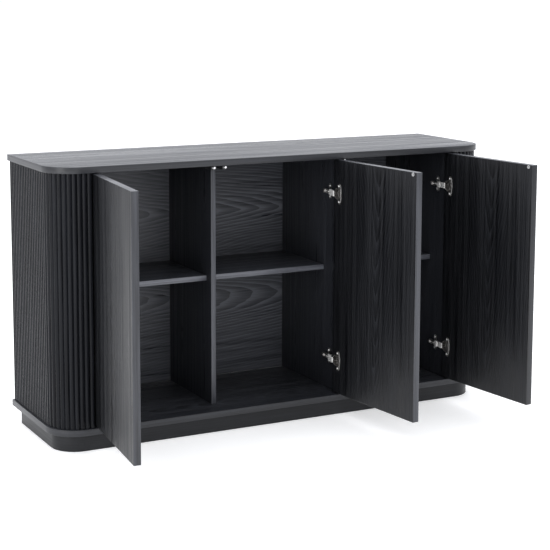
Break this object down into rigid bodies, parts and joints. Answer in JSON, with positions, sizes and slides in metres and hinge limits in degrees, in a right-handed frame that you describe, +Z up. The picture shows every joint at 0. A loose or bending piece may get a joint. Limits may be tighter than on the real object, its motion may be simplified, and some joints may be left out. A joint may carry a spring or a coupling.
{
  "type": "sideboard",
  "caption": "Low wood-grain sideboard with reeded rounded ends, flat handleless doors on concealed hinges, open bays with a shelf each, and a recessed plinth.",
  "frame": {"origin": "on the floor under the middle of the top board", "axes": "+X to the right along the front, +Y to the back, +Z up"},
  "size_m": [1.4, 0.7472, 0.788],
  "materials": {
    "black_oak": "matte black-stained open-grain oak",
    "nickel": "bright nickel plate",
    "magnet_steel": "satin steel",
    "black_plastic": "fine matte"
  },
  "bodies": {
    "carcass": {"back_panel": "black_oak", "base_board": "black_oak", "left_divider": "black_oak", "left_divider_front_shelf_pin": "nickel", "left_divider_rear_shelf_pin": "nickel", "left_door_lower_hinge_arm": "nickel", "left_door_lower_hinge_plate": "nickel", "left_door_upper_hinge_arm": "nickel", "left_door_upper_hinge_plate": "nickel", "left_end_front_shelf_pin": "nickel", "left_end_panel": "black_oak", "left_end_rear_shelf_pin": "nickel", "left_latch_body": "black_plastic", "left_reeded_cladding": "black_oak", "left_shelf": "black_oak", "middle_door_lower_hinge_arm": "nickel", "middle_door_lower_hinge_plate": "nickel", "middle_door_upper_hinge_arm": "nickel", "middle_door_upper_hinge_plate": "nickel", "middle_latch_body": "black_plastic", "middle_shelf": "black_oak", "plinth_brace": "black_oak", "plinth_front": "black_oak", "plinth_left": "black_oak", "plinth_rear": "black_oak", "plinth_right": "black_oak", "right_divider": "black_oak", "right_divider_front_shelf_pin": "nickel", "right_divider_rear_shelf_pin": "nickel", "right_door_lower_hinge_arm": "nickel", "right_door_lower_hinge_plate": "nickel", "right_door_upper_hinge_arm": "nickel", "right_door_upper_hinge_plate": "nickel", "right_end_front_shelf_pin": "nickel", "right_end_panel": "black_oak", "right_end_rear_shelf_pin": "nickel", "right_latch_body": "black_plastic", "right_reeded_cladding": "black_oak", "right_shelf": "black_oak", "top_board": "black_oak"},
    "left_door": {"left_door": "black_oak", "left_door_lower_hinge_cup": "nickel", "left_door_strike": "magnet_steel", "left_door_upper_hinge_cup": "nickel"},
    "middle_door": {"middle_door": "black_oak", "middle_door_lower_hinge_cup": "nickel", "middle_door_strike": "magnet_steel", "middle_door_upper_hinge_cup": "nickel"},
    "right_door": {"right_door": "black_oak", "right_door_lower_hinge_cup": "nickel", "right_door_strike": "magnet_steel", "right_door_upper_hinge_cup": "nickel"},
    "left_plunger": {"left_latch_plunger": "magnet_steel"},
    "middle_plunger": {"middle_latch_plunger": "magnet_steel"},
    "right_plunger": {"right_latch_plunger": "magnet_steel"}
  },
  "joints": [
    {"name": "left_door_hinge", "type": "hinge", "parent": "carcass", "child": "left_door", "pos_m": [-0.57143, -0.178, 0.4175], "axis": [0, 0, 1], "range_deg": [0, 96]},
    {"name": "middle_door_hinge", "type": "hinge", "parent": "carcass", "child": "middle_door", "pos_m": [0.18343, -0.178, 0.4175], "axis": [0, 0, -1], "range_deg": [0, 96]},
    {"name": "right_door_hinge", "type": "hinge", "parent": "carcass", "child": "right_door", "pos_m": [0.57143, -0.178, 0.4175], "axis": [0, 0, -1], "range_deg": [0, 96]},
    {"name": "left_latch_push", "type": "slide", "parent": "carcass", "child": "left_plunger", "axis": [0, 1, 0], "range_m": [0, 0.003], "stiffness_N_per_m": 600, "springref_m": -0.002},
    {"name": "middle_latch_push", "type": "slide", "parent": "carcass", "child": "middle_plunger", "axis": [0, 1, 0], "range_m": [0, 0.003], "stiffness_N_per_m": 600, "springref_m": -0.002},
    {"name": "right_latch_push", "type": "slide", "parent": "carcass", "child": "right_plunger", "axis": [0, 1, 0], "range_m": [0, 0.003], "stiffness_N_per_m": 600, "springref_m": -0.002}
  ]
}
